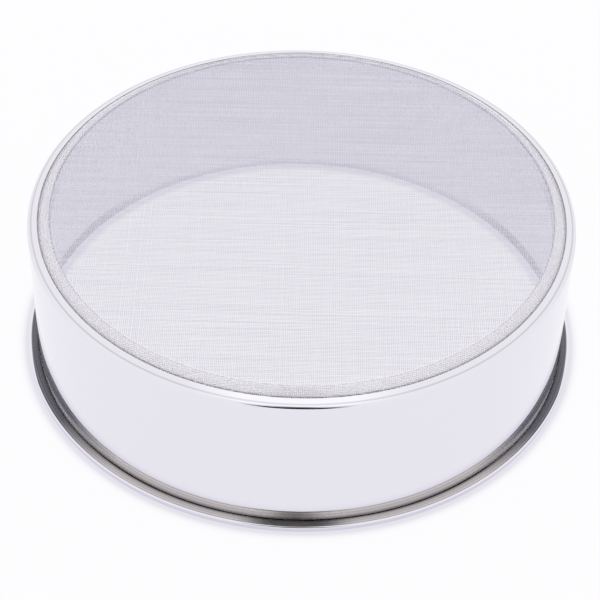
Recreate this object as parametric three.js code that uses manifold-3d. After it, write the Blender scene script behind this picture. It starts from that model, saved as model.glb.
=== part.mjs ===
// Round stainless flour sieve, standing mouth down with its mesh on top.
// Millimetres, +Z up. The origin is the centre of the circle on which the mouth rim stands.
//
// The drum is one sheet. At the mouth it is turned out along the floor, up into a skirt and back in to a
// brim that stops just short of the wall. At the other end it is turned in to a lip. The wire cloth is
// drawn over a tension ring pressed into the drum, and gripped between the ring's flange and the lip.

import * as THREE from "three";
import { mergeVertices } from "three/addons/utils/BufferGeometryUtils.js";
import Module from "manifold-3d";

const wasm = await Module();
wasm.setup();

// Drum
const WALL_RADIUS = 97; // outside of the wall at the lip
const WALL_TAPER = 0.55; // the wall's radius is this much less at the mouth
const SIEVE_HEIGHT = 58.0; // floor to the top of the lip's inner edge
const DRUM_SHEET = 0.4;

// Lip at the mesh end
const LIP_WIDTH = 3.6; // from the wall's outside in to the lip's edge
const LIP_SLOPE = THREE.MathUtils.degToRad(22); // the lip and the layers under it fall away outwards
const LIP_CORNER = 1.2; // outside radius of the bend from wall to lip

// Mouth
const MOUTH_RADIUS = 100.2; // outside of the skirt
const BRIM_HEIGHT = 2.45; // floor to the brim's outer edge
const BRIM_RISE = THREE.MathUtils.degToRad(6); // the brim climbs outwards
const BRIM_GAP = 0.2; // from the wall out to the brim's cut edge
const SKIRT_BEND = 0.5; // outside radius of the three bends at the mouth

// Tension ring: a skirt along the wall, a flange under the lip, a band that lifts the cloth, and a leg
const RING_SHEET = 0.4;
const RING_SKIRT = 6.0; // straight height of the skirt
const RING_BEND = 0.8; // outside radius of the bend from skirt to flange
const BAND_WIDTH = 4.6; // from the lip's edge in to the face of the leg
const BAND_SLOPE = THREE.MathUtils.degToRad(38); // the band climbs more steeply than the flange
const RING_CREST = 0.9; // outside radius of the crest between band and leg
const RING_LEG = 5.0; // straight height of the leg below the crest

// Wire cloth
const WIRE = 0.2; // diameter of one wire
const WIRE_PITCH = 0.635; // 40 wires to the inch
const WIRES_PER_STRAND = 20; // the net has one strand for this many wires
const STRAND_BITE = 0.06; // how deep crossing strands sink into each other
const NET_INSET = 0.03; // the net lies this far inside both faces of the cloth's edge band

// Fits and fineness
const CLEARANCE = 0.15; // between the layers at the lip, and twice this between ring and wall
const SEGMENTS = 56; // steps round the drum
const ARC_STEP = THREE.MathUtils.degToRad(30); // widest step of a bend

// Sizes that follow
const CLOTH = 2 * WIRE; // two wires cross
const FOOT_RADIUS = WALL_RADIUS - WALL_TAPER; // outside of the wall at the mouth
const LIP_RADIUS = WALL_RADIUS - LIP_WIDTH;
const LEG_RADIUS = LIP_RADIUS - BAND_WIDTH;
const RING_RADIUS = WALL_RADIUS - DRUM_SHEET - 2 * CLEARANCE; // outside of the ring's skirt
const CLOTH_RADIUS = RING_RADIUS - RING_BEND; // the cloth ends where the ring's bend begins

// Middle of each layer, measured square to the lip's slope from the upper face of the lip
const LIP_LAYER = -DRUM_SHEET / 2;
const CLOTH_LAYER = -DRUM_SHEET - CLEARANCE - CLOTH / 2;
const RING_LAYER = CLOTH_LAYER - CLOTH / 2 - CLEARANCE - RING_SHEET / 2;

/** Point at a radius on the line that runs along the lip's slope in a layer. */
function onLayer(layer, radius) {
  const fall = (radius - LIP_RADIUS) * Math.tan(LIP_SLOPE);
  return new THREE.Vector2(radius, SIEVE_HEIGHT + layer / Math.cos(LIP_SLOPE) - fall);
}

/** Point at a radius on the line that runs a distance above the brim's upper face. */
function onBrim(distance, radius) {
  const fall = (MOUTH_RADIUS - radius) * Math.tan(BRIM_RISE);
  return new THREE.Vector2(radius, BRIM_HEIGHT + distance / Math.cos(BRIM_RISE) - fall);
}

/** Points of an arc about a centre, in equal steps no wider than ARC_STEP. */
function arc(centre, radius, from, to) {
  const steps = Math.ceil(Math.abs(to - from) / ARC_STEP);
  return Array.from({ length: steps + 1 }, (_, i) => {
    const angle = from + ((to - from) * i) / steps;
    return new THREE.Vector2(centre.x + radius * Math.cos(angle), centre.y + radius * Math.sin(angle));
  });
}

/** A line moved sideways by a distance, to the left of its direction, with mitred corners. */
function offsetLine(line, distance) {
  const leftOf = (a, b) => new THREE.Vector2(a.y - b.y, b.x - a.x).normalize();
  const last = line.length - 1;
  return line.map((point, i) => {
    const before = leftOf(line[Math.max(i - 1, 0)], line[Math.max(i, 1)]);
    const after = leftOf(line[Math.min(i, last - 1)], line[Math.min(i + 1, last)]);
    const mitre = before.clone().add(after).divideScalar(1 + before.dot(after));
    return point.clone().addScaledVector(mitre, distance);
  });
}

/** Closed outline of a sheet whose middle follows a line. */
function sheetOutline(line, thickness) {
  const left = offsetLine(line, thickness / 2);
  const right = offsetLine(line, -thickness / 2);
  return [...right, ...left.reverse(), right[0]];
}

/** An outline of radius and height turned about +Z. */
function turned(outline) {
  return new THREE.LatheGeometry(outline, SEGMENTS).rotateX(Math.PI / 2);
}

function solidOf(geometry) {
  const bare = geometry.index ? geometry.toNonIndexed() : geometry.clone();
  bare.deleteAttribute("normal");
  bare.deleteAttribute("uv");
  const merged = mergeVertices(bare);
  return new wasm.Manifold(
    new wasm.Mesh({
      numProp: 3,
      vertProperties: merged.attributes.position.array,
      triVerts: new Uint32Array(merged.index.array),
    }),
  );
}

function geometryOf(solid) {
  const mesh = solid.getMesh();
  const geometry = new THREE.BufferGeometry();
  geometry.setAttribute("position", new THREE.BufferAttribute(mesh.vertProperties, 3));
  geometry.setIndex(new THREE.BufferAttribute(mesh.triVerts, 1));
  geometry.computeVertexNormals();
  return geometry;
}

/** The drum in one sheet: brim, skirt, floor run, wall and lip. */
function drumShell() {
  const half = DRUM_SHEET / 2;
  const skirtMiddle = SKIRT_BEND - half;
  const skirtRadius = MOUTH_RADIUS - SKIRT_BEND;
  const footRadius = FOOT_RADIUS - DRUM_SHEET + SKIRT_BEND;
  const lipMiddle = LIP_CORNER - half;
  const squareToBrim = Math.PI / 2 + BRIM_RISE;
  const squareToLip = Math.PI / 2 - LIP_SLOPE;

  const line = [
    onBrim(-half, FOOT_RADIUS + BRIM_GAP),
    ...arc(onBrim(-SKIRT_BEND, skirtRadius), skirtMiddle, squareToBrim, 0),
    ...arc(new THREE.Vector2(skirtRadius, SKIRT_BEND), skirtMiddle, 0, -Math.PI / 2),
    ...arc(new THREE.Vector2(footRadius, SKIRT_BEND), skirtMiddle, -Math.PI / 2, -Math.PI),
    ...arc(onLayer(-LIP_CORNER, WALL_RADIUS - LIP_CORNER), lipMiddle, 0, squareToLip),
    onLayer(LIP_LAYER, LIP_RADIUS - half * Math.sin(LIP_SLOPE)),
  ];
  return turned(sheetOutline(line, DRUM_SHEET));
}

/** Where a layer leaves the lip's slope for the band's, just inside the lip's edge. */
function bandFoot(layer) {
  return onLayer(layer, LIP_RADIUS - DRUM_SHEET / 2);
}

/** Centre of the ring's crest, which meets the band's slope above it and the leg inside it. */
function crestCentre() {
  const radius = LEG_RADIUS + RING_CREST;
  const foot = bandFoot(RING_LAYER);
  const bandHeight = foot.y + (foot.x - radius) * Math.tan(BAND_SLOPE);
  return new THREE.Vector2(radius, bandHeight - (RING_CREST - RING_SHEET / 2) / Math.cos(BAND_SLOPE));
}

/** The tension ring: skirt, flange, band, crest and leg. */
function tensionRing() {
  const bendMiddle = RING_BEND - RING_SHEET / 2;
  const bend = arc(onLayer(RING_LAYER - bendMiddle, CLOTH_RADIUS), bendMiddle, 0, Math.PI / 2 - LIP_SLOPE);
  const skirtEnd = bend[0].clone().add(new THREE.Vector2(0, -RING_SKIRT));
  const crest = arc(crestCentre(), RING_CREST - RING_SHEET / 2, Math.PI / 2 - BAND_SLOPE, Math.PI);
  const legEnd = crest.at(-1).clone().add(new THREE.Vector2(0, -RING_LEG));
  return turned(sheetOutline([skirtEnd, ...bend, bandFoot(RING_LAYER), ...crest, legEnd], RING_SHEET));
}

/** The cloth: a close band over the ring, and across it a net as heavy as the woven wire. */
function meshCloth() {
  const centre = crestCentre();
  const overCrest = RING_CREST + CLEARANCE + CLOTH / 2;
  const crest = arc(centre, overCrest, Math.PI / 2 - BAND_SLOPE, Math.PI / 2);
  const level = crest.at(-1).y;
  const bandEnd = new THREE.Vector2(LEG_RADIUS, level);
  const hem = onLayer(CLOTH_LAYER, CLOTH_RADIUS - (CLOTH / 2) * Math.sin(LIP_SLOPE));
  const band = solidOf(turned(sheetOutline([hem, bandFoot(CLOTH_LAYER), ...crest, bandEnd], CLOTH)));

  // Upper strands run along X and lower ones along Y, sunk into each other where they cross.
  const netPitch = WIRES_PER_STRAND * WIRE_PITCH;
  const top = CLOTH / 2 - NET_INSET;
  const height = top + STRAND_BITE / 2;
  const width = (WIRES_PER_STRAND * Math.PI * WIRE ** 2) / 4 / height; // as much steel as its wires
  const lift = top - height / 2;
  const each = Math.floor((LEG_RADIUS - width) / netPitch); // strands on each side of the middle one

  const strands = [];
  for (let i = -each; i <= each; i++) {
    const upper = new THREE.BoxGeometry(2 * WALL_RADIUS, width, height);
    const lower = new THREE.BoxGeometry(width, 2 * WALL_RADIUS, height);
    strands.push(solidOf(upper.translate(0, i * netPitch, level + lift)));
    strands.push(solidOf(lower.translate(i * netPitch, 0, level - lift)));
  }
  const reach = (LEG_RADIUS + centre.x) / 2; // the strands end inside the band
  const disc = new THREE.CylinderGeometry(reach, reach, 2 * CLOTH, SEGMENTS).rotateX(Math.PI / 2);
  const field = solidOf(disc.translate(0, 0, level));
  const net = strands.reduce((joined, next) => joined.add(next)).intersect(field);
  return geometryOf(band.add(net));
}

const polishedSteel = new THREE.MeshStandardMaterial({ color: 0xdcdde2, roughness: 0.12, metalness: 1 });
const satinSteel = new THREE.MeshStandardMaterial({ color: 0xcfd0d4, roughness: 0.3, metalness: 1 });
const wireSteel = new THREE.MeshStandardMaterial({ color: 0xd2d2d8, roughness: 0.35, metalness: 1 });

function piece(name, geometry, material) {
  const mesh = new THREE.Mesh(geometry, material);
  mesh.name = name;
  return mesh;
}

const sieve = new THREE.Group();
sieve.name = "flour_sieve";
sieve.add(piece("drum_shell", drumShell(), polishedSteel));
sieve.add(piece("tension_ring", tensionRing(), satinSteel));
sieve.add(piece("mesh_cloth", meshCloth(), wireSteel));

export default sieve;
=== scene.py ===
import math

import bpy
import numpy as np
from mathutils import Matrix, Vector


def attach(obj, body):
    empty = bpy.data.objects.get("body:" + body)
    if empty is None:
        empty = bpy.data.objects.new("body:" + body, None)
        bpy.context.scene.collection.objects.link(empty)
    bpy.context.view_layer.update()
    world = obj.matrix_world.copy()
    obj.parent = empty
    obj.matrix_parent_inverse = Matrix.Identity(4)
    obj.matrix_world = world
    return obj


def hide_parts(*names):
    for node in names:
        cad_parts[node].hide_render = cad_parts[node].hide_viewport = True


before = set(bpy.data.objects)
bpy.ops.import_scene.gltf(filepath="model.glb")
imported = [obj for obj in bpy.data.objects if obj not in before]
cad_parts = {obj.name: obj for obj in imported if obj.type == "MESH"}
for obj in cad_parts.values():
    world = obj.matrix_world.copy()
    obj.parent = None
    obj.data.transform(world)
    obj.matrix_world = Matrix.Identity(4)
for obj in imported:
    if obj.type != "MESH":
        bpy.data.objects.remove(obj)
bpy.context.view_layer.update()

# Sizes of the sieve, in metres and degrees, as in the solids
MM = 0.001
WALL_RADIUS = 97.0 * MM
WALL_TAPER = 0.55 * MM
SIEVE_HEIGHT = 58.0 * MM
DRUM_SHEET = 0.4 * MM
LIP_WIDTH = 3.6 * MM
LIP_SLOPE = 22.0
LIP_CORNER = 1.2 * MM
MOUTH_RADIUS = 100.2 * MM
BRIM_HEIGHT = 2.45 * MM
BRIM_RISE = 6.0
BRIM_GAP = 0.2 * MM
SKIRT_BEND = 0.5 * MM
RING_SHEET = 0.4 * MM
RING_SKIRT = 6.0 * MM
RING_BEND = 0.8 * MM
BAND_WIDTH = 4.6 * MM
BAND_SLOPE = 38.0
RING_CREST = 0.9 * MM
RING_LEG = 5.0 * MM
WIRE = 0.2 * MM
WIRE_PITCH = 0.635 * MM
CLEARANCE = 0.15 * MM

# How far outside the lip's edge the cloth starts to rise, closer than in the solids
LIP_GRIP = 0.25 * MM

# Sizes that follow from them
CLOTH = 2 * WIRE
FOOT_RADIUS = WALL_RADIUS - WALL_TAPER
LIP_RADIUS = WALL_RADIUS - LIP_WIDTH
LEG_RADIUS = LIP_RADIUS - BAND_WIDTH
RING_RADIUS = WALL_RADIUS - DRUM_SHEET - 2 * CLEARANCE
CLOTH_RADIUS = RING_RADIUS - RING_BEND
LIP_TAN = math.tan(math.radians(LIP_SLOPE))
LIP_COS = math.cos(math.radians(LIP_SLOPE))
BRIM_TAN = math.tan(math.radians(BRIM_RISE))
BRIM_COS = math.cos(math.radians(BRIM_RISE))
BAND_TAN = math.tan(math.radians(BAND_SLOPE))
BAND_COS = math.cos(math.radians(BAND_SLOPE))

# Radius of the cloth's middle round the ring's crest, and how far out that bend reaches
CREST_OVER = RING_CREST + CLEARANCE + CLOTH / 2
CREST_REACH = CREST_OVER * math.sin(math.radians(BAND_SLOPE))

# Middle of each layer, square to the lip's slope, from the lip's upper face
LIP_LAYER = -DRUM_SHEET / 2
CLOTH_LAYER = -DRUM_SHEET - CLEARANCE - CLOTH / 2
RING_LAYER = CLOTH_LAYER - CLOTH / 2 - CLEARANCE - RING_SHEET / 2

# Fineness
TURN_STEPS = 288
EDGE_STEP = 0.12 * MM
LONG_STRETCH = 4 * EDGE_STEP
EDGE_POINTS = 9

# How far the wires lie out of true, in pitches, and the sway's turn along half a wire, in radians
DRIFT_STEP = 0.035
DRIFT_SHARE = 0.5
PLACE_SPREAD = 0.06
SWAY_SPREAD = 0.05
SWAY_TURN = 2.2

# Tones of the steel and of the paper
POLISHED = (0.81, 0.80, 0.86)
# Painted shade on the inside of the wall
INNER_WALL_SHADE = (0.72, 0.705, 0.77)
LIP_LINE = (0.5, 0.5, 0.52)
# The brim's beige is partly its duller finish and partly a painted reflection of the studio
BEIGE_DARK = (0.47, 0.435, 0.41)
BEIGE_LIGHT = (0.72, 0.685, 0.66)
# Painted dark reflection on the brim's left and right flanks
FLANK_REFLECTION_DARK = (0.08, 0.078, 0.09)
FLANK_REFLECTION_LIGHT = (0.21, 0.205, 0.23)
# Painted shade at the brim's root, in the crease by the wall
BRIM_ROOT_SHADE = (0.06, 0.055, 0.055)
RING_BRIGHT = (0.97, 0.97, 0.98)
# Painted shade on the ring's faces that look inwards
RING_INWARD_SHADE = (0.74, 0.725, 0.79)
WIRE_MEAN = (0.86, 0.85, 0.935)
WIRE_DARK = (0.775, 0.765, 0.875)
WIRE_LIGHT = (0.945, 0.93, 1.0)
# Painted highlight on the wires over the ring's band and crest
WIRE_BAND_HIGHLIGHT = (0.965, 0.94, 1.0)
# Painted shade in the groove at the lip's edge
WIRE_GROOVE_SHADE = (0.2, 0.2, 0.21)
PAPER = (0.99, 0.985, 1.0)
PAPER_SHADED = (0.78, 0.77, 0.84)

# Radii and heights between which a finish goes over to the next
BRIM_START = (FOOT_RADIUS + 0.1 * MM, FOOT_RADIUS + 0.25 * MM)
BRIM_END = (MOUTH_RADIUS - 0.55 * MM, MOUTH_RADIUS - 0.4 * MM)
BRIM_TOP = (3.0 * MM, 3.5 * MM)
# Painted shade at the brim's root fades out between these radii
ROOT_SHADE_FADE = (FOOT_RADIUS + 0.5 * MM, FOOT_RADIUS + 1.4 * MM)
# Heights up to which the wall's foot mirrors less at the flanks, a painted light on the brim's reflection in
# it
WALL_FOOT = (4.2 * MM, 5.4 * MM)
LIP_FOOT = (54.0 * MM, 55.0 * MM)
LINE_START = (LIP_RADIUS + 1.8 * MM, LIP_RADIUS + 2.1 * MM)
LINE_END = (LIP_RADIUS + 2.4 * MM, LIP_RADIUS + 2.6 * MM)
# Painted highlight on the wires comes in between these radii, over the ring's crest
BAND_HIGHLIGHT_START = (LEG_RADIUS + 0.2 * MM, LEG_RADIUS + 0.5 * MM)
# Painted shade in the groove at the lip's edge, strongest at the front, between these radii and these Y
GROOVE_SHADE_START = (LIP_RADIUS - 0.8 * MM, LIP_RADIUS - 0.4 * MM)
GROOVE_SHADE_FRONT = (-90.0 * MM, -30.0 * MM)

# The same for the squared sine of the angle from the front, how far a face looks outwards, and noise
# FLANK: where the brim's painted dark reflection comes in at the left and right
FLANK = (0.42, 0.72)
FAR_FLANK = (0.88, 0.97)
LOOKS_IN = (-0.6, -0.4)
RING_LOOKS_IN = (-0.6, -0.3)
NOISE_MIDDLE = (0.3, 0.7)
WHOLE = (0, 1)

# How far the brim's finish is drawn in at the far flanks
FAR_FLANK_DRAW = 0.55 * MM

# Strengths of the finishes, with two values where a pattern carries one to the other
# Share of painted shade at the brim's root
ROOT_SHADE_STRENGTH = 0.72
LINE_STRENGTH = 0.6
BRIM_MIRROR = 0.86
FOOT_MIRROR = 0.45
RING_MIRROR = (0.4, 1)
SHEET_ROUGHNESS = (0.03, 0.09)
BRIM_ROUGHNESS = (0.1, 0.22)
RING_ROUGHNESS = (0.2, 0.32)

# Scales of the patterns along X, Y and Z, or along the radius, for each metre
POLISH_LINES = (9, 9, 2600)
BRIM_GRAIN = (700, 90, 700)
BRIM_RINGS = 1600
RING_GRAIN = (900, 900, 900)
WIRE_STREAKS = (18, 1400, 1)

# Paper: half its side, its share of plain colour, and the width and openness of its contact shade
FLOOR_REACH = 3.0
PAPER_OWN_LIGHT = 0.95
PAPER_HEM = 5.0 * MM
PAPER_OPEN = (0.75, 0.95)

# Cards round the stage: their distances and what they give off
STAND_RADIUS = 1.2
STAND_BLACK = (0.015, 0.015, 0.015)
STAND_GREY = (0.2, 0.19, 0.185)
OVERHEAD_RADIUS = 1.5
OVERHEAD_WHITE = (1.18, 1.18, 1.18)

# Camera of the photograph, in degrees, metres and millimetres of lens and sensor
CAMERA_ELEVATION = 42.93
CAMERA_ROLL = 1.34
CAMERA_AIM = (0, -11.35 * MM, 24.56 * MM)
CAMERA_DISTANCE = 0.75096
CAMERA_LENS = 124.8
CAMERA_SENSOR = 36
CAMERA_NEAR = 0.01


# Sheets and pieces

def on_layer(layer, radius):
    """Point of a layer at a radius: the lip's slope falls away outwards from the lip's edge."""
    return np.array([radius, SIEVE_HEIGHT + layer / LIP_COS - (radius - LIP_RADIUS) * LIP_TAN])


def on_brim(distance, radius):
    """Point at a radius, a distance above the brim's face, which falls inwards from the mouth's radius."""
    return np.array([radius, BRIM_HEIGHT + distance / BRIM_COS - (MOUTH_RADIUS - radius) * BRIM_TAN])


def arc(centre, radius, start, end, steps):
    """Arc points: the centre plus the radius times cosine and sine of evenly spaced angles in degrees."""
    angle = np.radians(np.linspace(start, end, steps))
    return np.column_stack([centre[0] + radius * np.cos(angle), centre[1] + radius * np.sin(angle)])


def with_supports(line):
    """The line with two more points on each long stretch, EDGE_STEP from its ends, to keep its shading
    flat. Short stretches get none."""
    step = np.diff(line, axis=0)
    length = np.linalg.norm(step, axis=1)[:, None]
    near = line[:-1] + step * EDGE_STEP / length
    far = line[1:] - step * EDGE_STEP / length
    body = np.stack([line[:-1], near, far], axis=1)
    kept = np.ones(body.shape[:2], dtype=bool)
    kept[:, 1:] = length > LONG_STRETCH
    return np.vstack([body[kept], line[-1:]])


def sheet_outline(line, thickness):
    """Closed outline of a bent sheet: its middle line moved half a thickness to each side along the
    mean normal of the two stretches at each point, with a half circle round each cut edge."""
    line = with_supports(line)
    step = np.diff(line, axis=0)
    normal = np.column_stack([-step[:, 1], step[:, 0]])
    normal /= np.linalg.norm(normal, axis=1)[:, None]
    before = np.vstack([normal[:1], normal])
    after = np.vstack([normal, normal[-1:]])
    mean = (before + after) / (1 + (before * after).sum(axis=1))[:, None]
    half = thickness / 2
    left = line + mean * half
    right = line - mean * half
    turn = math.degrees(math.atan2(normal[-1, 1], normal[-1, 0]))
    last = arc(line[-1], half, turn, turn - 180, EDGE_POINTS)[1:-1]
    turn = math.degrees(math.atan2(normal[0, 1], normal[0, 0]))
    first = arc(line[0], half, turn - 180, turn - 360, EDGE_POINTS)[1:-1]
    return np.vstack([left, last, right[::-1], first])


def new_piece(name, points, faces, material):
    """A mesh object at the origin, smooth, that rides on the sieve's one body."""
    mesh = bpy.data.meshes.new(name)
    mesh.from_pydata(points.tolist(), [], faces.tolist())
    mesh.polygons.foreach_set("use_smooth", np.ones(len(mesh.polygons), dtype=bool))
    mesh.materials.append(material)
    mesh.update()
    piece = bpy.data.objects.new(name, mesh)
    bpy.context.scene.collection.objects.link(piece)
    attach(piece, "root")
    return piece


def grid_faces(rows, columns):
    """Quads of a grid that closes on itself both ways, each row's points in order."""
    i, j = np.meshgrid(np.arange(rows), np.arange(columns), indexing="ij")
    down = (i + 1) % rows
    along = (j + 1) % columns
    corners = [i * columns + j, i * columns + along, down * columns + along, down * columns + j]
    return np.stack(corners, axis=-1).reshape(-1, 4)


def turned_piece(name, outline, material):
    """A surface of revolution: each outline point (radius, height) carried round +Z in equal steps. The
    sign of the outline's area says which way round its faces go to look outwards."""
    angle = np.linspace(0, 2 * np.pi, TURN_STEPS, endpoint=False)
    radius = outline[:, :1]
    height = np.broadcast_to(outline[:, 1:], (len(outline), TURN_STEPS))
    points = np.stack([radius * np.cos(angle), radius * np.sin(angle), height], axis=-1)
    faces = grid_faces(len(outline), TURN_STEPS)
    shifted = np.roll(outline, -1, axis=0)
    area = (outline[:, 0] * shifted[:, 1] - shifted[:, 0] * outline[:, 1]).sum()
    faces = faces[:, ::-1] if area > 0 else faces
    return new_piece(name, points.reshape(-1, 3), faces, material)


# Drum and ring

def drum_line():
    """Middle line of the drum's sheet: brim, skirt, floor run, wall and lip."""
    half = DRUM_SHEET / 2
    bend = SKIRT_BEND - half
    skirt = MOUTH_RADIUS - SKIRT_BEND
    foot = FOOT_RADIUS - DRUM_SHEET + SKIRT_BEND
    corner = on_layer(-LIP_CORNER, WALL_RADIUS - LIP_CORNER)
    return np.vstack([
        on_brim(-half, FOOT_RADIUS + BRIM_GAP + half),
        arc(on_brim(-SKIRT_BEND, skirt), bend, 90 + BRIM_RISE, 0, steps=16),
        arc([skirt, SKIRT_BEND], bend, 0, -90, steps=14),
        arc([foot, SKIRT_BEND], bend, -90, -180, steps=14),
        arc(corner, LIP_CORNER - half, 0, 90 - LIP_SLOPE, steps=18),
        on_layer(LIP_LAYER, LIP_RADIUS + half),
    ])


def crest_centre():
    """Centre of the ring's crest: under the band's slope, one crest radius outside the leg's face."""
    radius = LEG_RADIUS + RING_CREST
    foot = on_layer(RING_LAYER, LIP_RADIUS - DRUM_SHEET / 2)
    band = foot[1] + (foot[0] - radius) * BAND_TAN
    return np.array([radius, band - (RING_CREST - RING_SHEET / 2) / BAND_COS])


def ring_line():
    """Middle line of the tension ring's sheet: skirt, flange, band, crest and leg."""
    middle = RING_BEND - RING_SHEET / 2
    bend = arc(on_layer(RING_LAYER - middle, CLOTH_RADIUS), middle, 0, 90 - LIP_SLOPE, steps=12)
    crest = arc(crest_centre(), RING_CREST - RING_SHEET / 2, 90 - BAND_SLOPE, 180, steps=18)
    return np.vstack([
        bend[0] - np.array([0, RING_SKIRT]),
        bend,
        on_layer(RING_LAYER, LIP_RADIUS - DRUM_SHEET / 2),
        crest,
        crest[-1] - np.array([0, RING_LEG]),
    ])


# Wire cloth

def cloth_height(radius):
    """Height of the cloth's middle: level across the ring, round over its crest, then down the band's
    slope to the lip, which grips it closely, and down the lip's."""
    centre = crest_centre()
    out = np.clip(radius - centre[0], 0, CREST_REACH)
    crest = centre[1] + np.sqrt(CREST_OVER ** 2 - out ** 2)
    foot = on_layer(CLOTH_LAYER, LIP_RADIUS + LIP_GRIP)
    band = foot[1] + (foot[0] - radius) * BAND_TAN
    hem = foot[1] + (foot[0] - radius) * LIP_TAN
    return np.where(radius > foot[0], hem, np.minimum(crest, band))


def wire_runs(place, reach):
    """Points along wires that pass the axis at the given distances: where each crosses a few circles that
    mark the cloth's bends, or at a share of its half length where it lies outside them, mirrored."""
    crest = crest_centre()[0]
    bend = [crest, crest + CREST_REACH / 2, crest + CREST_REACH]
    circle = np.array([crest / 2, *bend, LIP_RADIUS + LIP_GRIP, reach])
    share = np.array([0.15, 0.4, 0.55, 0.7, 0.85, 1.0])
    crossing = np.sqrt(np.clip(circle ** 2 - place[:, None] ** 2, 0, None))
    half = np.maximum(crossing, np.sqrt(reach ** 2 - place[:, None] ** 2) * share)
    return np.hstack([-half[:, ::-1], half])


def wire_faces(points_each, corners):
    """Faces of one wire: a quad between each corner and the next from point to point, and its two ends."""
    i, k = np.meshgrid(np.arange(points_each - 1), np.arange(corners), indexing="ij")
    after = (k + 1) % corners
    start = i * corners
    end = start + corners
    sides = np.stack([start + k, start + after, end + after, end + k], axis=-1).reshape(-1, 4)
    cap = np.arange(corners)
    ends = np.array([cap[::-1], cap + (points_each - 1) * corners])
    return np.vstack([sides, ends])


def wire_layer(name, along, lift, seed, material):
    """Straight wires side by side: wire i lies WIRE_PITCH from the next, a little out of true, and spans
    a chord of the cloth's circle; its points follow the cloth's height and carry a four-cornered section."""
    rng = np.random.default_rng(seed)
    reach = CLOTH_RADIUS - 2 * WIRE
    count = int(reach / WIRE_PITCH)
    place = np.arange(-count, count + 1) * WIRE_PITCH
    drift = np.cumsum(rng.normal(0, DRIFT_STEP, len(place)))
    drift -= np.linspace(drift[0], drift[-1], len(place))
    place = place + WIRE_PITCH * (drift * DRIFT_SHARE + rng.normal(0, PLACE_SPREAD, len(place)))
    place = place[np.abs(place) < reach]
    run = wire_runs(place, reach)
    bow = WIRE_PITCH * np.cos(run / reach * SWAY_TURN)
    side = place[:, None] + rng.normal(0, SWAY_SPREAD, (len(place), 1)) * bow
    height = cloth_height(np.hypot(run, side)) + lift * WIRE / 2
    section = np.radians([0, 90, 180, 270])
    across = side[..., None] + WIRE / 2 * np.cos(section)
    tall = height[..., None] + WIRE / 2 * np.sin(section)
    length = np.broadcast_to(run[..., None], across.shape)
    points = np.stack([length, across, tall] if along == "x" else [across, length, tall], axis=-1)

    one = wire_faces(run.shape[1], len(section))
    one = one if along == "y" else one[:, ::-1]
    faces = one + (np.arange(len(place)) * run.shape[1] * len(section))[:, None, None]
    return new_piece(name, points.reshape(-1, 3), faces.reshape(-1, 4), material)


# Nodes

def principled(name, colour, roughness, metallic):
    """A steel whose colour, roughness and share of mirror light stand on the shader itself. They show
    wherever no pattern of nodes reaches a socket, and in a viewer that leaves such patterns out."""
    material = bpy.data.materials.new(name)
    material.use_nodes = True
    shader = material.node_tree.nodes["Principled BSDF"]
    shader.inputs["Base Color"].default_value = (*colour, 1)
    shader.inputs["Metallic"].default_value = metallic
    shader.inputs["Roughness"].default_value = roughness
    return material, material.node_tree, shader


def own_place(tree):
    """Socket with the object's own coordinates."""
    return tree.nodes.new("ShaderNodeTexCoord").outputs["Object"]


def parts_of(tree, place):
    """Sockets with the X, Y and Z of a place."""
    split = tree.nodes.new("ShaderNodeSeparateXYZ")
    tree.links.new(place, split.inputs["Vector"])
    return split.outputs


def ramp(tree, value, span, low, high):
    """A value carried from the span's two ends to low and high, and held beyond them."""
    node = tree.nodes.new("ShaderNodeMapRange")
    node.inputs["From Min"].default_value = span[0]
    node.inputs["From Max"].default_value = span[1]
    node.inputs["To Min"].default_value = low
    node.inputs["To Max"].default_value = high
    tree.links.new(value, node.inputs["Value"])
    return node.outputs["Result"]


def maths(tree, operation, first, second):
    """Result of an operation on two sockets."""
    node = tree.nodes.new("ShaderNodeMath")
    node.operation = operation
    tree.links.new(first, node.inputs[0])
    tree.links.new(second, node.inputs[1])
    return node.outputs["Value"]


def product(tree, first, *others):
    """Sockets multiplied together, one after another."""
    for other in others:
        first = maths(tree, "MULTIPLY", first, other)
    return first


def vector_maths(tree, operation, first, second):
    """Result of a vector operation on a socket and either a socket or a fixed vector."""
    node = tree.nodes.new("ShaderNodeVectorMath")
    node.operation = operation
    tree.links.new(first, node.inputs[0])
    if isinstance(second, tuple):
        node.inputs[1].default_value = second
    else:
        tree.links.new(second, node.inputs[1])
    return node


def radius_of(tree, place):
    """Distance from the sieve's axis: the length of the place with its height left out."""
    flat = vector_maths(tree, "MULTIPLY", place, (1, 1, 0))
    length = tree.nodes.new("ShaderNodeVectorMath")
    length.operation = "LENGTH"
    tree.links.new(flat.outputs["Vector"], length.inputs[0])
    return length.outputs["Value"]


def facing_out(tree, place, radius):
    """How far a face looks away from the axis: the product of its normal and its place, over the radius."""
    flat = vector_maths(tree, "MULTIPLY", place, (1, 1, 0))
    geometry = tree.nodes.new("ShaderNodeNewGeometry")
    outward = vector_maths(tree, "DOT_PRODUCT", flat.outputs["Vector"], geometry.outputs["Normal"])
    return maths(tree, "DIVIDE", outward.outputs["Value"], radius)


def blend(tree, factor, first, second):
    """Colour that goes from the first to the second with the factor; each is a colour or a socket."""
    node = tree.nodes.new("ShaderNodeMix")
    node.data_type = "RGBA"
    tree.links.new(factor, node.inputs["Factor"])
    for name, colour in (("A", first), ("B", second)):
        if isinstance(colour, tuple):
            node.inputs[name].default_value = (*colour, 1)
        else:
            tree.links.new(colour, node.inputs[name])
    return node.outputs["Result"]


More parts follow.
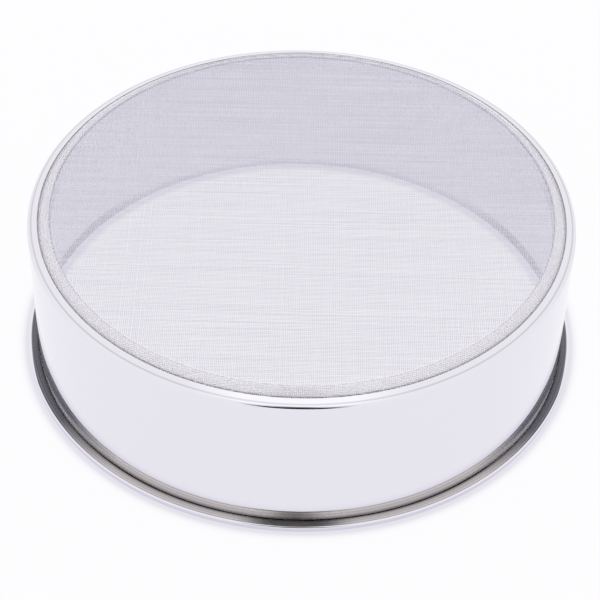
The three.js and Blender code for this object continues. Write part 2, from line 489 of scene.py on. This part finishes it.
def stretched_noise(tree, place, scale, detail):
    """Noise of a place, each of its coordinates multiplied by its scale."""
    mapping = tree.nodes.new("ShaderNodeMapping")
    mapping.inputs["Scale"].default_value = scale
    noise = tree.nodes.new("ShaderNodeTexNoise")
    noise.inputs["Scale"].default_value = 1
    noise.inputs["Detail"].default_value = detail
    tree.links.new(place, mapping.inputs["Vector"])
    tree.links.new(mapping.outputs["Vector"], noise.inputs["Vector"])
    return noise.outputs["Fac"]


def rings_noise(tree, radius, scale):
    """Noise of the radius alone, spread over 0 to 1: fine rings round the axis."""
    noise = tree.nodes.new("ShaderNodeTexNoise")
    noise.noise_dimensions = "1D"
    noise.inputs["Scale"].default_value = scale
    noise.inputs["Detail"].default_value = 1
    tree.links.new(radius, noise.inputs["W"])
    return ramp(tree, noise.outputs["Fac"], NOISE_MIDDLE, 0, 1)


# Finishes

def brim_zone(tree, radius, height, aside):
    """1 on the brim: a ring between two radii near the floor, drawn in at the far left and right."""
    outside = ramp(tree, radius, BRIM_START, 0, 1)
    drawn_in = maths(tree, "ADD", radius, ramp(tree, aside, FAR_FLANK, 0, FAR_FLANK_DRAW))
    inside = ramp(tree, drawn_in, BRIM_END, 1, 0)
    return product(tree, outside, inside, ramp(tree, height, BRIM_TOP, 1, 0))


def brim_tone(tree, radius, flank):
    """Tone of the brim: fine rings of beige, partly a duller finish and partly painted reflection, much
    darker at the flanks in a painted reflection, and darkest at the root by the wall in a painted shade.
    """
    rings = rings_noise(tree, radius, BRIM_RINGS)
    beige = blend(tree, rings, BEIGE_DARK, BEIGE_LIGHT)
    # Painted reflection: the brim darkens towards the left and right flanks
    shaded = blend(tree, rings, FLANK_REFLECTION_DARK, FLANK_REFLECTION_LIGHT)
    # Painted shade in the crease where the brim meets the wall
    root = ramp(tree, radius, ROOT_SHADE_FADE, ROOT_SHADE_STRENGTH, 0)
    return blend(tree, root, blend(tree, flank, beige, shaded), BRIM_ROOT_SHADE)


def wall_tone(tree, place, radius, height):
    """Tone of the wall and the lip: bright, with a faint line turned round the lip between two radii, and
    darker on the inside of the wall, a painted shade."""
    rising = ramp(tree, radius, LINE_START, 0, LINE_STRENGTH)
    falling = ramp(tree, radius, LINE_END, 1, 0)
    turned = product(tree, rising, falling, ramp(tree, height, LIP_FOOT, 0, 1))
    # Painted shade: the inward faces below the lip are darker
    facing_in = ramp(tree, facing_out(tree, place, radius), LOOKS_IN, 1, 0)
    inner_shade = product(tree, facing_in, ramp(tree, height, LIP_FOOT, 1, 0))
    return blend(tree, inner_shade, blend(tree, turned, POLISHED, LIP_LINE), INNER_WALL_SHADE)


def polished_steel():
    """Mirror-polished sheet with fine lines that run round the drum. The wheel does not reach the brim,
    which is duller and rougher. The wall's foot mirrors less beside the brim's dark flanks, a painted light
    that lightens the brim's reflection in it."""
    material, tree, shader = principled("polished_steel", POLISHED, roughness=0.06, metallic=1)
    place = own_place(tree)
    parts = parts_of(tree, place)
    height = parts["Z"]
    radius = radius_of(tree, place)
    sine = maths(tree, "DIVIDE", parts["X"], radius)
    aside = maths(tree, "MULTIPLY", sine, sine)
    flank = ramp(tree, aside, FLANK, 0, 1)
    brim = brim_zone(tree, radius, height, aside)
    tone = blend(tree, brim, wall_tone(tree, place, radius, height), brim_tone(tree, radius, flank))
    tree.links.new(tone, shader.inputs["Base Color"])

    # Less mirror at the wall's foot on the flanks: painted light that lightens the brim's dark reflection
    # seen in it
    at_wall = ramp(tree, radius, BRIM_START, 1, 0)
    foot = product(tree, at_wall, flank, ramp(tree, height, WALL_FOOT, 1, 0))
    brim_mirror = ramp(tree, brim, WHOLE, 1, BRIM_MIRROR)
    foot_mirror = ramp(tree, foot, WHOLE, 1, FOOT_MIRROR)
    tree.links.new(product(tree, brim_mirror, foot_mirror), shader.inputs["Metallic"])

    polish = stretched_noise(tree, place, POLISH_LINES, detail=3)
    grain = stretched_noise(tree, place, BRIM_GRAIN, detail=3)
    rough = tree.nodes.new("ShaderNodeMix")
    tree.links.new(brim, rough.inputs["Factor"])
    tree.links.new(ramp(tree, polish, WHOLE, *SHEET_ROUGHNESS), rough.inputs["A"])
    tree.links.new(ramp(tree, grain, WHOLE, *BRIM_ROUGHNESS), rough.inputs["B"])
    tree.links.new(rough.outputs["Result"], shader.inputs["Roughness"])
    return material


def ring_finish():
    """Bright satin steel, darker on the faces that look inwards, a painted shade, with a roughness that
    drifts with a fine noise."""
    material, tree, shader = principled("ring_steel", RING_BRIGHT, roughness=0.3, metallic=0.5)
    place = own_place(tree)
    # Painted shade on the faces that look inwards
    facing_in = ramp(tree, facing_out(tree, place, radius_of(tree, place)), RING_LOOKS_IN, 1, 0)
    tree.links.new(blend(tree, facing_in, RING_BRIGHT, RING_INWARD_SHADE), shader.inputs["Base Color"])
    tree.links.new(ramp(tree, facing_in, WHOLE, *RING_MIRROR), shader.inputs["Metallic"])
    noise = stretched_noise(tree, place, RING_GRAIN, detail=4)
    tree.links.new(ramp(tree, noise, WHOLE, *RING_ROUGHNESS), shader.inputs["Roughness"])
    return material


def wire_finish():
    """Bright drawn wire: its tone drifts slowly along the weft and from wire to wire, is whiter over the
    ring's band and crest, a painted highlight, and darker towards the front in the groove at the lip's edge,
    a painted shade."""
    material, tree, shader = principled("wire_steel", WIRE_MEAN, roughness=0.35, metallic=0.3)
    place = own_place(tree)
    radius = radius_of(tree, place)
    streak = stretched_noise(tree, place, WIRE_STREAKS, detail=2)
    drawn = blend(tree, ramp(tree, streak, NOISE_MIDDLE, 0, 1), WIRE_DARK, WIRE_LIGHT)
    # Painted highlight: the wires are whiter over the ring's band and crest
    band_highlight = blend(tree, ramp(tree, radius, BAND_HIGHLIGHT_START, 0, 1), drawn, WIRE_BAND_HIGHLIGHT)
    # Painted shade in the groove at the lip's edge, strongest towards the front
    front = ramp(tree, parts_of(tree, place)["Y"], GROOVE_SHADE_FRONT, 1, 0)
    groove = product(tree, ramp(tree, radius, GROOVE_SHADE_START, 0, 1), front)
    tree.links.new(blend(tree, groove, band_highlight, WIRE_GROOVE_SHADE), shader.inputs["Base Color"])
    return material


# Stage

def stage_mesh(name, points, faces, material):
    """A mesh object that belongs to the stage and not to the sieve."""
    mesh = bpy.data.meshes.new(name)
    mesh.from_pydata(points, [], faces)
    mesh.materials.append(material)
    thing = bpy.data.objects.new(name, mesh)
    bpy.context.scene.collection.objects.link(thing)
    return thing


def bare_material(name):
    """A material whose nodes are only its output."""
    material = bpy.data.materials.new(name)
    material.use_nodes = True
    tree = material.node_tree
    tree.nodes.remove(tree.nodes["Principled BSDF"])
    return material, tree


def show_mix(tree, factor, first, second):
    """The surface goes from the first shader to the second with the factor."""
    mix = tree.nodes.new("ShaderNodeMixShader")
    tree.links.new(factor, mix.inputs["Fac"])
    tree.links.new(first.outputs[0], mix.inputs[1])
    tree.links.new(second.outputs[0], mix.inputs[2])
    tree.links.new(mix.outputs["Shader"], tree.nodes["Material Output"].inputs["Surface"])


def pale_paper():
    """White paper: its shading, mixed for the rays that look at it with a share of plain colour, which
    goes over to the shaded one within the hem's width of whatever stands on the paper."""
    material, tree = bare_material("pale_paper")
    shade = tree.nodes.new("ShaderNodeBsdfDiffuse")
    shade.inputs["Color"].default_value = (*PAPER, 1)
    near = tree.nodes.new("ShaderNodeAmbientOcclusion")
    near.inputs["Distance"].default_value = PAPER_HEM
    glow = tree.nodes.new("ShaderNodeEmission")
    glow.inputs["Strength"].default_value = 1
    open_share = ramp(tree, near.outputs["AO"], PAPER_OPEN, 0, 1)
    tree.links.new(blend(tree, open_share, PAPER_SHADED, PAPER), glow.inputs["Color"])
    rays = tree.nodes.new("ShaderNodeLightPath").outputs
    seen = maths(tree, "MAXIMUM", rays["Is Camera Ray"], rays["Is Glossy Ray"])
    looked_at = maths(tree, "MAXIMUM", seen, rays["Is Transmission Ray"])
    show_mix(tree, ramp(tree, looked_at, WHOLE, 0, PAPER_OWN_LIGHT), shade, glow)
    return material


def make_floor():
    """A square of paper at height 0."""
    far = FLOOR_REACH
    corners = [(-far, -far, 0), (far, -far, 0), (far, far, 0), (-far, far, 0)]
    stage_mesh("floor", corners, [(0, 1, 2, 3)], pale_paper())


def board_tone(name, colour, fade):
    """A colour given off near the plane X = 0, which goes over to clear between two distances from it."""
    material, tree = bare_material(name)
    side = tree.nodes.new("ShaderNodeMath")
    side.operation = "ABSOLUTE"
    tree.links.new(parts_of(tree, own_place(tree))["X"], side.inputs[0])
    glow = tree.nodes.new("ShaderNodeEmission")
    glow.inputs["Color"].default_value = (*colour, 1)
    clear = tree.nodes.new("ShaderNodeBsdfTransparent")
    show_mix(tree, ramp(tree, side.outputs["Value"], fade, 0, 1), glow, clear)
    return material


def dome_patch(name, radius, turn, rise, material):
    """Part of a sphere about the origin, on a grid of azimuth from the front and elevation in degrees. It
    shows in reflections and nowhere else."""
    rows = 13
    columns = 73
    elevation = np.radians(np.linspace(*rise, rows))[:, None]
    azimuth = np.radians(np.linspace(*turn, columns))[None, :]
    points = np.stack([
        radius * np.cos(elevation) * np.sin(azimuth),
        -radius * np.cos(elevation) * np.cos(azimuth),
        radius * np.sin(elevation) * np.ones_like(azimuth),
    ], axis=-1).reshape(-1, 3)
    i, j = np.meshgrid(np.arange(rows - 1), np.arange(columns - 1), indexing="ij")
    start = i * columns + j
    faces = np.stack([start, start + 1, start + columns + 1, start + columns], axis=-1).reshape(-1, 4)
    patch = stage_mesh(name, points.tolist(), faces.tolist(), material)
    patch.visible_camera = False
    patch.visible_diffuse = False
    patch.visible_transmission = False
    patch.visible_shadow = False


def light_world():
    """Even white light from all round."""
    world = bpy.data.worlds.new("soft_light")
    world.use_nodes = True
    background = world.node_tree.nodes["Background"]
    background.inputs["Color"].default_value = (1, 1, 1, 1)
    background.inputs["Strength"].default_value = 1
    bpy.context.scene.world = world


def place_camera():
    """The photograph's camera: above and in front, turned a little about its own axis."""
    elevation = math.radians(CAMERA_ELEVATION)
    roll = math.radians(CAMERA_ROLL)
    back = Vector((0, -math.cos(elevation), math.sin(elevation)))
    level = Vector((1, 0, 0))
    rise = Vector((0, math.sin(elevation), math.cos(elevation)))
    right = level * math.cos(roll) + rise * math.sin(roll)
    up = rise * math.cos(roll) - level * math.sin(roll)
    data = bpy.data.cameras.new("camera")
    data.lens = CAMERA_LENS
    data.sensor_width = CAMERA_SENSOR
    data.clip_start = CAMERA_NEAR
    camera = bpy.data.objects.new("camera", data)
    turn = Matrix((right, up, back)).transposed().to_4x4()
    camera.matrix_world = Matrix.Translation(Vector(CAMERA_AIM) + back * CAMERA_DISTANCE) @ turn
    bpy.context.scene.collection.objects.link(camera)
    bpy.context.scene.camera = camera


bpy.context.scene.view_settings.view_transform = "Standard"
place_camera()
light_world()
make_floor()
stand_black = board_tone("stand_black", STAND_BLACK, fade=(0.2, 0.38))
dome_patch("stand_foot", STAND_RADIUS, turn=(-24, 24), rise=(8, 46), material=stand_black)
stand_grey = board_tone("stand_grey", STAND_GREY, fade=(0.05, 0.17))
dome_patch("stand_head", STAND_RADIUS, turn=(-22, 22), rise=(46, 74), material=stand_grey)
overhead_white = board_tone("overhead_white", OVERHEAD_WHITE, fade=(0.25, 0.5))
dome_patch("overhead", OVERHEAD_RADIUS, turn=(90, 270), rise=(45, 108), material=overhead_white)

sheet_steel = polished_steel()
ring_steel = ring_finish()
wire_steel = wire_finish()

drum = turned_piece("drum", sheet_outline(drum_line(), DRUM_SHEET), sheet_steel)
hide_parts("drum_shell")
ring = turned_piece("ring", sheet_outline(ring_line(), RING_SHEET), ring_steel)
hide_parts("tension_ring")
weft = wire_layer("weft_wires", along="x", lift=1, seed=11, material=wire_steel)
warp = wire_layer("warp_wires", along="y", lift=-1, seed=12, material=wire_steel)
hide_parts("mesh_cloth")
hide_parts("mesh_cloth")
